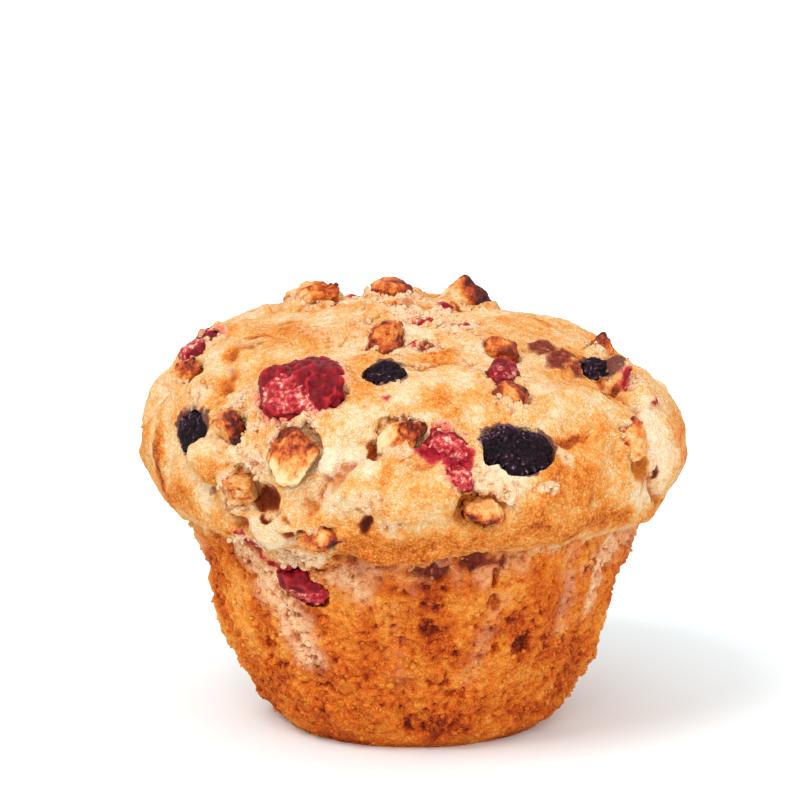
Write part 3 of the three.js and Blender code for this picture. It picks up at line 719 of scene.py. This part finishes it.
def scattered(name, mesh, masks, chance, amount):
    """Loose crumbs lying on the cake, denser where their chance is larger."""
    count, smallest, largest = amount
    points, normals = corners(mesh), outward(mesh)
    ball, faces = unit_ball(2)
    chosen = draw.choice(len(points), count, replace=False, p=chance / chance.sum())
    radii = smallest + (largest - smallest) * draw.random(count) ** 2
    shapes = []
    for index, radius in zip(chosen, radii):
        stretch = radius * draw.uniform(*CRUMB_STRETCH, 3)
        turn = turned(draw.normal(size=3), draw.uniform(0, math.tau))
        uneven = ball * (1 + CRUMB_UNEVENNESS * draw.normal(size=(len(ball), 1)))
        lifted = points[index] + CRUMB_LIFT * radius * normals[index]
        shapes.append((uneven * stretch) @ turn + lifted)
    crumbs = joined(name, shapes, faces)
    own = {key: values[chosen] for key, values in masks.items()}
    # Loose crumbs get no painted shade of recesses and the full painted light of raised points.
    own["deep"] = np.zeros(count)
    own["peak"] = np.ones(count)
    store(crumbs, {key: np.repeat(values, len(ball)) for key, values in own.items()})
    return new_piece(name, crumbs)


def make_cake(toppings):
    """The cake in two pieces, parted under its lip, and its loose crumbs."""
    cake = merged_copy("cake", "whole_cake")
    add_lumps(cake.data, toppings)
    remesh = cake.modifiers.new("fine", "REMESH")
    remesh.mode = "VOXEL"
    remesh.voxel_size = CAKE_VOXEL * MM
    apply_modifiers(cake)
    mesh = cake.data
    masks = shape_cake(mesh, toppings)
    store(mesh, masks)
    height = corners(mesh)[:, 2]
    dome = part_of(cake, "baked_dome", lambda z: z > PARTING_HEIGHT)
    stump = part_of(cake, "baked_stump", lambda z: z <= PARTING_HEIGHT)
    torn = scattered("torn_crumbs", mesh, masks, masks["dome"] * masks["torn"] ** 1.5, TORN_CRUMBS)
    on_stump = (1 - masks["dome"]) * ramped(0.5, 3, height)
    grains = scattered("stump_grains", mesh, masks, on_stump, STUMP_GRAINS)
    bpy.data.objects.remove(cake)
    return [dome, stump], [torn, grains]


# Toppings

def fine_topping(node, division):
    """A topping's solid, divided finely and swollen to fill its socket."""
    piece = merged_copy(node, node + "_baked")
    subdivision = piece.modifiers.new("fine", "SUBSURF")
    subdivision.subdivision_type = division
    subdivision.levels = TOPPING_LEVELS
    subdivision.render_levels = TOPPING_LEVELS
    apply_modifiers(piece)
    mesh = piece.data
    set_corners(mesh, corners(mesh) + TOPPING_SWELL * outward(mesh))
    return piece


def seen_from_front(angle):
    """The direction at an angle as the camera sees it, where 0 is right and 90 up."""
    return np.array((math.cos(math.radians(angle)), 0, math.sin(math.radians(angle))))


def away_from_ring(point):
    """The direction from the middle of the widest ring to a point."""
    away = point - (0, 0, RING_HEIGHT)
    return away / np.linalg.norm(away)


def random_cuts(count, least, most):
    """Random directions, each with a share between the least and the most."""
    cuts = []
    for _ in range(count):
        cut = draw.normal(size=3)
        cuts.append((cut / np.linalg.norm(cut), draw.uniform(least, most)))
    return cuts


def broken(points, cuts):
    """The points with every side that a cut faces taken back to a share of its reach."""
    middle = points.mean(0)
    for cut, share in cuts:
        reach = (points - middle) @ cut
        points = points - np.maximum(reach - share * reach.max(), 0)[:, None] * cut
    return points


def make_blueberry(number):
    """A baked blueberry: a slack skin with deep soft wrinkles."""
    piece = fine_topping(f"blueberry_{number}", "CATMULL_CLARK")
    mesh = piece.data
    points = corners(mesh)
    middle = points.mean(0)
    out = away_from_ring(middle)
    points -= BLUEBERRY_SAG * np.maximum((points - middle) @ out, 0)[:, None] * out
    loose = wandered(points, 0.8, 3, 20 + number)
    folds = 1 - np.abs(lumps(loose, 1.6, 30 + number, 2))
    wrinkles = 1 - np.abs(lumps(loose, 0.7, 40 + number, 2))
    rise = 0.7 * lumps(points, 4.5, 50 + number) + 0.5 * (folds - 0.65) + 0.45 * (wrinkles - 0.65)
    set_corners(mesh, points + rise[:, None] * outward(mesh))
    # Ridges are painted lighter, as highlights; the bloom is the skin's own colour.
    store(mesh, {
        "ridge": ramped(-0.05, 0.25, convexity(mesh, SHAPE_ROUNDS["blueberry"])),
        "bloom": 0.5 + 0.5 * lumps(points, 3.2, 60 + number, 2),
    })
    return piece


def flesh_shown(number, across, up):
    """Where a red berry shows its flesh, from 0 on its skin to 1."""
    if number == LARGE_RED_BERRY:
        shown = np.zeros(len(across))
        for east, north, radius in FLESH_LOBES:
            away = np.hypot(across - east, up - north) / radius
            shown = np.maximum(shown, ramped(1.15, 0.6, away))
        return shown
    if number == HALF_HIDDEN:
        return ramped(0.6, -0.6, up)
    reach = np.ptp(across) / 2
    return FLESH_SHARE.get(number, 1) * ramped(1.1, 0.5, np.hypot(across, up) / reach)


def make_red_berry(number):
    """A burst red berry: a crumpled skin round pale flesh."""
    piece = fine_topping(f"red_berry_{number}", "CATMULL_CLARK")
    mesh = piece.data
    points = corners(mesh)
    if number == LARGE_RED_BERRY:
        cuts = [(seen_from_front(angle), share) for angle, share in CRUSHED_SIDES]
        points = smoothed(broken(points, cuts), edge_ends(mesh), 3)
        set_corners(mesh, points)
    middle = points.mean(0)
    out = away_from_ring(middle)
    level = eastward(out)
    offset = wandered(points, 0.8, 2.4, 70 + number) - middle
    flesh = flesh_shown(number, offset @ level, offset @ np.cross(out, level)) * (offset @ out > 0)
    folds = lumps(wandered(points, 1, 3, 80 + number), 4.6, 84 + number)
    creases = lumps(points, 1.8, 90 + number, 2)
    rise = (1 - 0.6 * flesh) * (1.3 * (0.6 - np.abs(folds)) + 0.3 * creases)
    rise += flesh * (0.5 * np.abs(creases) - 0.6) + 0.1 * lumps(points, 1, 97 + number)
    set_corners(mesh, points + rise[:, None] * outward(mesh))
    shape = convexity(mesh, SHAPE_ROUNDS["red_berry"])
    # Ridges of the skin are painted lighter, as highlights.
    store(mesh, {"flesh": flesh, "ridge": ramped(-0.05, 0.3, shape)})
    return piece


def roughen_nut(mesh, seed, toast, breaks=()):
    """Breaks a piece of walnut into flat faces, creases it along its grain and toasts it."""
    overall, gain, angle = toast
    cuts = [(seen_from_front(side), share) for side, share in breaks]
    cuts += random_cuts(*NUT_BREAKS)
    points = smoothed(broken(corners(mesh), cuts), edge_ends(mesh), 1)
    middle = points.mean(0)
    set_corners(mesh, points)
    _, axes = np.linalg.eigh(np.cov(points.T))
    along_grain = wandered((points - middle) @ axes * (1, 1, 0.3), 0.5, 2.4, seed)
    lobes = np.abs(lumps(along_grain, 1.7, seed + 3, 2))
    facing = outward(mesh) @ (draw.normal(size=3) / 1.7)
    skin = ramped(-0.3, 0.4, facing + 0.4 * lumps(points, 3, seed + 4))
    grain = lumps(points, 0.8, seed + 5, 2)
    rise = (0.25 + 0.75 * skin) * (np.minimum(lobes, 0.5) - 0.25) + 0.12 * grain + 0.15
    set_corners(mesh, points + rise[:, None] * outward(mesh))
    shape = convexity(mesh, SHAPE_ROUNDS["walnut"])
    reach = (points - middle) @ seen_from_front(angle)
    tint = overall + gain * reach / np.ptp(reach) * 2 + 0.32 * (skin - 0.3)
    tint += 0.65 * ramped(0.08, 0.4, shape) + 0.24 * lumps(points, 2.4, seed + 6, 2)
    # The crease mask paints shade: the walnut's colour darkens in its creases.
    store(mesh, {"toast": np.clip(tint, 0, 1.2), "crease": ramped(-0.04, -0.35, shape)})


def make_walnut(number):
    """A piece of walnut."""
    piece = fine_topping(f"walnut_{number}", "SIMPLE")
    toast, breaks = TOAST.get(number, PLAIN_TOAST), BREAKS.get(number, ())
    roughen_nut(piece.data, 200 + 10 * number, toast, breaks)
    return piece


def make_chips(tree):
    """Small chips of walnut, over the lumps that the cake's solid has for them."""
    ball, faces = unit_ball(4)
    shapes = []
    for place, size in BITS:
        seat = Seat([tree], place)
        shape = ball.copy()
        for cut, share in random_cuts(*CHIP_BREAKS):
            shape -= np.maximum(shape @ cut - share, 0)[:, None] * cut
        turn = turned(seat.normal, draw.uniform(0, math.tau))
        flat = shape @ turned(draw.normal(size=3), draw.uniform(0, math.tau))
        flat = flat * size * np.array(CHIP_SHAPE)
        base = np.stack([seat.east, seat.up, seat.normal])
        shapes.append(flat @ base @ turn + seat.point + CHIP_LIFT * size * seat.normal)
    mesh = joined("nut_chips", shapes, faces)
    roughen_nut(mesh, 900, PLAIN_TOAST)
    return new_piece("nut_chips", mesh)


# Materials

class Paint:
    """Builds one material's nodes; most methods return the socket of what they add."""

    def __init__(self, name):
        self.material = bpy.data.materials.new(name)
        self.material.use_nodes = True
        self.tree = self.material.node_tree
        self.shader = self.tree.nodes["Principled BSDF"]
        self.place = self.tree.nodes.new("ShaderNodeTexCoord").outputs["Object"]
        self.values = {}

    def give(self, socket, value):
        """Links a value to a socket, or sets it where it is a constant."""
        if isinstance(value, bpy.types.NodeSocket):
            self.tree.links.new(value, socket)
        else:
            socket.default_value = value

    def add(self, kind, inputs=(), **settings):
        """A new node of a kind, with its settings and what its inputs get."""
        node = self.tree.nodes.new(kind)
        for name, value in settings.items():
            setattr(node, name, value)
        for socket, value in dict(inputs).items():
            self.give(node.inputs[socket], value)
        return node

    def value(self, name):
        """The texture of a name, or else the mask that the mesh keeps under it."""
        if name not in self.values:
            mask = self.add("ShaderNodeAttribute", attribute_name=name)
            self.values[name] = mask.outputs["Fac"]
        return self.values[name]

    def noise(self, name, width, detail=2, roughness=0.5):
        """Names random values round 0.5, with lumps width mm across."""
        inputs = {"Vector": self.place, "Scale": 1 / (width * MM), "Detail": detail}
        inputs["Roughness"] = roughness
        self.values[name] = self.add("ShaderNodeTexNoise", inputs).outputs["Fac"]

    def grains(self, name, width, low, high):
        """Names values that grow from 0 to 1 away from scattered points width mm apart."""
        inputs = {"Vector": self.place, "Scale": 1 / (width * MM)}
        away = self.add("ShaderNodeTexVoronoi", inputs).outputs["Distance"]
        self.values[name] = self.between(away, low, high)

    def sum(self, first, **factors):
        """first plus each named value times its factor."""
        total = first
        for name, factor in factors.items():
            inputs = {0: self.value(name), 1: factor, 2: total}
            total = self.add("ShaderNodeMath", inputs, operation="MULTIPLY_ADD").outputs[0]
        return total

    def between(self, value, low, high, top=1):
        """0 where value is below low, top above high, and smooth between them."""
        inputs = {"Value": value, "From Min": low, "From Max": high, "To Max": top}
        node = self.add("ShaderNodeMapRange", inputs, interpolation_type="SMOOTHSTEP")
        return node.outputs["Result"]

    def ramp(self, value, *stops):
        """Colours along a value; each stop is the value and its red, green and blue."""
        node = self.add("ShaderNodeValToRGB", {"Fac": value})
        marks = node.color_ramp.elements
        for _ in range(len(stops) - 2):
            marks.new(0.5)
        for mark, (at, *shade) in zip(marks, stops):
            mark.position = at
            mark.color = colour(*shade)
        return node.outputs["Color"]

    def mix(self, under, over, share):
        """The colour under, with a share of the colour over it."""
        node = self.add("ShaderNodeMix", {0: share, 6: under, 7: over}, data_type="RGBA")
        return node.outputs[2]

    def bump(self, height, distance, strength=1):
        """Normals for a surface that a height raises by a distance in mm."""
        inputs = {"Height": height, "Distance": distance * MM, "Strength": strength}
        return self.add("ShaderNodeBump", inputs).outputs["Normal"]

    def glow(self, weight, radii, scale):
        """Lets in a share of the light, whose red, green and blue reach radii times scale."""
        self.finish(Subsurface_Weight=weight, Subsurface_Radius=radii, Subsurface_Scale=scale * MM)

    def finish(self, **inputs):
        """Links or sets the shader's inputs, whose names have _ for a space."""
        for name, value in inputs.items():
            self.give(self.shader.inputs[name.replace("_", " ")], value)
        return self.material


class CrumbPaint(Paint):
    """The cake's crumb, painted in layers, each over the shade that it is given."""

    def __init__(self):
        super().__init__("baked_crumb")
        self.noise("blotches", 7, 3, 0.6)
        self.noise("mottle", 2.2, 3, 0.6)
        self.noise("speckle", 0.85, 3, 0.65)
        self.grains("grain", 0.5, 0.1, 0.7)

    def dome_crust(self):
        """Pale gold to chestnut, as the dome has browned, with painted shade where it lies deep.
        """
        crust = self.ramp(
            self.sum(-1.2, brown=1, blotches=0.7, mottle=0.5, speckle=0.8, grain=0.24, deep=0.34),
            (0, 234, 208, 174), (0.2, 226, 186, 136), (0.4, 222, 158, 86),
            (0.62, 214, 124, 44), (0.84, 178, 82, 26), (1, 120, 46, 18),
        )
        # Painted shade: darker orange where the crumb lies deep.
        return self.mix(crust, colour(168, 78, 24), self.sum(0, deep=0.6))

    def stump_crust(self):
        """The deeper gold to brown of the sides, which baked against a tin."""
        # Painted shade darkens hollows; painted light brightens raised points and raised flutes.
        return self.ramp(
            self.sum(-0.99, brown=1.1, deep=0.35, peak=-0.1, flute=-0.25, mottle=0.7, speckle=0.7,
                     grain=0.2, blotches=0.6),
            (0, 230, 156, 74), (0.2, 222, 130, 44), (0.42, 206, 98, 26),
            (0.64, 168, 62, 20), (0.9, 92, 28, 18),
        )

    def bare_crumb(self, shade):
        """Pale crumb on the stump, where its crust came off."""
        # Darker where it lies deep, as painted shade.
        bare = self.ramp(
            self.sum(-0.25, speckle=0.8, mottle=0.6, deep=0.4),
            (0.15, 248, 222, 190), (0.42, 240, 196, 152), (0.62, 220, 148, 96),
            (0.9, 146, 68, 42),
        )
        share = self.between(self.sum(-0.85, pale=1, mottle=0.9, speckle=0.6), 0, 0.9, 0.95)
        return self.mix(shade, bare, share)

    def torn_crumb(self, shade):
        """Open crumb on the dome, where its crust has torn."""
        # Darker where it lies deep, as painted shade.
        inner = self.ramp(
            self.sum(-0.35, deep=0.5, speckle=0.9, grain=0.3),
            (0.1, 242, 214, 182), (0.4, 232, 188, 142), (0.65, 212, 140, 88),
            (0.9, 156, 76, 42),
        )
        share = self.between(self.sum(-0.5, torn=1, speckle=0.8), 0.15, 0.6)
        return self.mix(shade, inner, self.sum(0, dome=share))

    def browned_edges(self, shade):
        """Painted shade in the creases, and browned crumb round the nuts."""
        # Painted shade: darker brown along the creases.
        shade = self.mix(shade, colour(186, 98, 48), self.sum(0, crease=0.6))
        share = self.between(self.sum(-0.3, near_nut=0.9, speckle=0.6), 0.2, 0.7, 0.7)
        return self.mix(shade, colour(186, 96, 34), share)

    def scorched_hollows(self, shade):
        """Painted shade in the hollows of the dome, from amber to dark brown."""
        # The colour of the painted shade in the hollows.
        burnt = self.ramp(
            self.sum(-0.2, scorch=0.9, speckle=0.4),
            (0.1, 204, 120, 44), (0.45, 146, 60, 22), (0.9, 66, 22, 14),
        )
        return self.mix(shade, burnt, self.between(self.value("hollow"), 0.2, 0.8))

    def berry_skins(self, shade):
        """Shrivelled skins of berries that lie just under the surface."""
        # Lighter where it stands out, as painted light.
        husk = self.ramp(
            self.sum(0, speckle=0.6, peak=0.4),
            (0.2, 96, 34, 30), (0.45, 150, 66, 48), (0.75, 212, 142, 96),
        )
        share = self.between(self.sum(-0.3, skin=1, mottle=0.6), 0.2, 0.7)
        return self.mix(shade, husk, share)

    def juices(self, shade):
        """Purple stains round the blueberries, and pink to red where red berries bled."""
        share = self.between(self.sum(-0.4, near_blue=0.9, speckle=0.8), 0.2, 0.7, 0.85)
        shade = self.mix(shade, colour(74, 26, 50), share)
        red = self.ramp(
            self.sum(-0.1, juice=0.6, mottle=0.7),
            (0.2, 236, 142, 114), (0.5, 206, 56, 66), (0.85, 138, 18, 32),
        )
        share = self.between(self.sum(-0.5, near_red=0.8, juice=1, speckle=0.9), 0.1, 0.75)
        return self.mix(shade, red, share)


def crumb_material():
    """The crumb of the cake and of the loose crumbs on it."""
    paint = CrumbPaint()
    shade = paint.mix(paint.stump_crust(), paint.dome_crust(), paint.value("dome"))
    for layer in (paint.bare_crumb, paint.torn_crumb, paint.browned_edges,
                  paint.scorched_hollows, paint.berry_skins, paint.juices):
        shade = layer(shade)
    paint.glow(0.1, (1, 0.5, 0.25), 0.6)
    return paint.finish(
        Base_Color=shade,
        Roughness=0.75, Specular_IOR_Level=0.08,
        Normal=paint.bump(paint.sum(0, mottle=1.1, speckle=1.1, grain=-0.45), 0.42),
    )


def blueberry_material():
    """Nearly black skin with a little purple bloom, and painted highlights on its ridges."""
    paint = Paint("blueberry_skin")
    paint.noise("fine", 0.6, 3, 0.65)
    paint.noise("finest", 0.28)
    shade = paint.ramp(
        paint.sum(-0.1, ridge=0.4, bloom=0.25, fine=0.6),
        (0.25, 10, 2, 6), (0.48, 28, 8, 18), (0.64, 58, 26, 48), (0.9, 176, 142, 166),
    )
    return paint.finish(
        Base_Color=shade,
        Roughness=paint.sum(0.42, fine=0.3), Specular_IOR_Level=0.14,
        Normal=paint.bump(paint.sum(0, fine=0.7, finest=0.3), 0.5),
    )


def red_berry_material():
    """Dark red skin with painted highlights on its ridges, and flesh from red to nearly white."""
    paint = Paint("red_berry_skin")
    paint.noise("fine", 0.8, 3, 0.65)
    paint.noise("broad", 2.4)
    skin = paint.ramp(
        paint.sum(-0.05, ridge=0.4, fine=0.5, broad=0.3),
        (0.2, 70, 4, 12), (0.5, 132, 10, 24), (0.85, 190, 36, 46),
    )
    flesh = paint.ramp(
        paint.sum(-0.9, fine=1.7, broad=1.1),
        (0.2, 136, 16, 26), (0.45, 174, 42, 50), (0.64, 202, 90, 84), (0.9, 240, 194, 168),
    )
    share = paint.between(paint.sum(-0.4, flesh=1, fine=0.7), 0.2, 0.65)
    paint.glow(0.1, (1, 0.25, 0.2), 1)
    return paint.finish(
        Base_Color=paint.mix(skin, flesh, share),
        Roughness=0.45, Specular_IOR_Level=0.14,
        Normal=paint.bump(paint.value("fine"), 0.22),
    )


def walnut_material():
    """Walnut from cream through orange brown to charred, as it is toasted."""
    paint = Paint("walnut_meat")
    paint.noise("fine", 1, 3, 0.65)
    paint.noise("grain", 0.35, 2, 0.6)
    # Darker in the creases, as painted shade.
    shade = paint.ramp(
        paint.sum(-0.64, toast=0.85, fine=0.8, grain=0.4, crease=0.3),
        (0.05, 226, 192, 144), (0.25, 220, 164, 98), (0.45, 208, 122, 48),
        (0.64, 176, 70, 22), (0.82, 116, 34, 16), (1, 58, 20, 14),
    )
    paint.glow(0.1, (1, 0.55, 0.3), 0.8)
    return paint.finish(
        Base_Color=shade,
        Roughness=0.5, Specular_IOR_Level=0.22,
        Normal=paint.bump(paint.sum(0, fine=0.8, grain=0.5), 0.3, 0.9),
    )


# The muffin

def present(piece, material, slot, *nodes):
    """Finishes a piece and lets it stand for its CAD nodes."""
    piece.data.materials.clear()
    piece.data.materials.append(material)
    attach(piece, "root")
    if nodes:
        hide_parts(*nodes)


walnut_meat = walnut_material()
KINDS = {
    "blueberry": (make_blueberry, blueberry_material(), "blueberry_skin"),
    "red_berry": (make_red_berry, red_berry_material(), "red_berry_skin"),
    "walnut": (make_walnut, walnut_meat, "walnut_meat"),
}
trees = []
for kind, (make, material, slot) in KINDS.items():
    count = sum(node.startswith(kind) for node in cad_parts)
    made = [make(number) for number in range(1, count + 1)]
    for number, piece in enumerate(made, 1):
        present(piece, material, slot, f"{kind}_{number}")
    trees.append(surface_tree([piece.data for piece in made]))
crumb = crumb_material()
cake_parts, loose_parts = make_cake(trees)
for piece in cake_parts:
    present(piece, crumb, "crumb", "cake")
for piece in loose_parts:
    present(piece, crumb, "crumb")
chips = make_chips(surface_tree([piece.data for piece in cake_parts]))
present(chips, walnut_meat, "walnut_meat")


# Stage, light and camera

def make_floor():
    """A pale floor that reaches beyond every view."""
    half = FLOOR_HALF_WIDTH * MM
    ring = [(-half, -half, 0), (half, -half, 0), (half, half, 0), (-half, half, 0)]
    mesh = bpy.data.meshes.new("floor")
    mesh.from_pydata(ring, [], [(0, 1, 2, 3)])
    floor = new_piece("floor", mesh)
    material = bpy.data.materials.new("pale_floor")
    material.use_nodes = True
    shader = material.node_tree.nodes["Principled BSDF"]
    shader.inputs["Base Color"].default_value = FLOOR_COLOUR
    shader.inputs["Roughness"].default_value = 0.9
    shader.inputs["Specular IOR Level"].default_value = 0.1
    mesh.materials.append(material)


def make_lights():
    """A white surrounding and the soft lights in it."""
    world = bpy.data.worlds.new("studio")
    world.use_nodes = True
    background = world.node_tree.nodes["Background"]
    background.inputs["Color"].default_value = (1, 1, 1, 1)
    background.inputs["Strength"].default_value = 1
    bpy.context.scene.world = world
    for name, (source, strength, breadth) in LIGHTS.items():
        light = bpy.data.lights.new(name, "SUN")
        light.energy = strength
        light.angle = math.radians(breadth)
        lamp = bpy.data.objects.new(name, light)
        lamp.rotation_euler = Vector(source).to_track_quat("Z", "Y").to_euler()
        bpy.context.scene.collection.objects.link(lamp)
    bpy.context.scene.view_settings.view_transform = "Standard"


def make_camera():
    """The camera, at the photograph's viewing angle."""
    camera = bpy.data.cameras.new("camera")
    camera.sensor_width = SENSOR_WIDTH
    camera.lens = SENSOR_WIDTH * CAMERA_DISTANCE / FRAME_WIDTH
    camera.clip_end = SIGHT * MM
    eye = bpy.data.objects.new("camera", camera)
    elevation = math.radians(CAMERA_ELEVATION)
    back = Vector((0, -math.cos(elevation), math.sin(elevation)))
    eye.location = (Vector(CAMERA_TARGET) + back * CAMERA_DISTANCE) * MM
    eye.rotation_euler = back.to_track_quat("Z", "Y").to_euler()
    bpy.context.scene.collection.objects.link(eye)
    bpy.context.scene.camera = eye


make_floor()
make_lights()
make_camera()
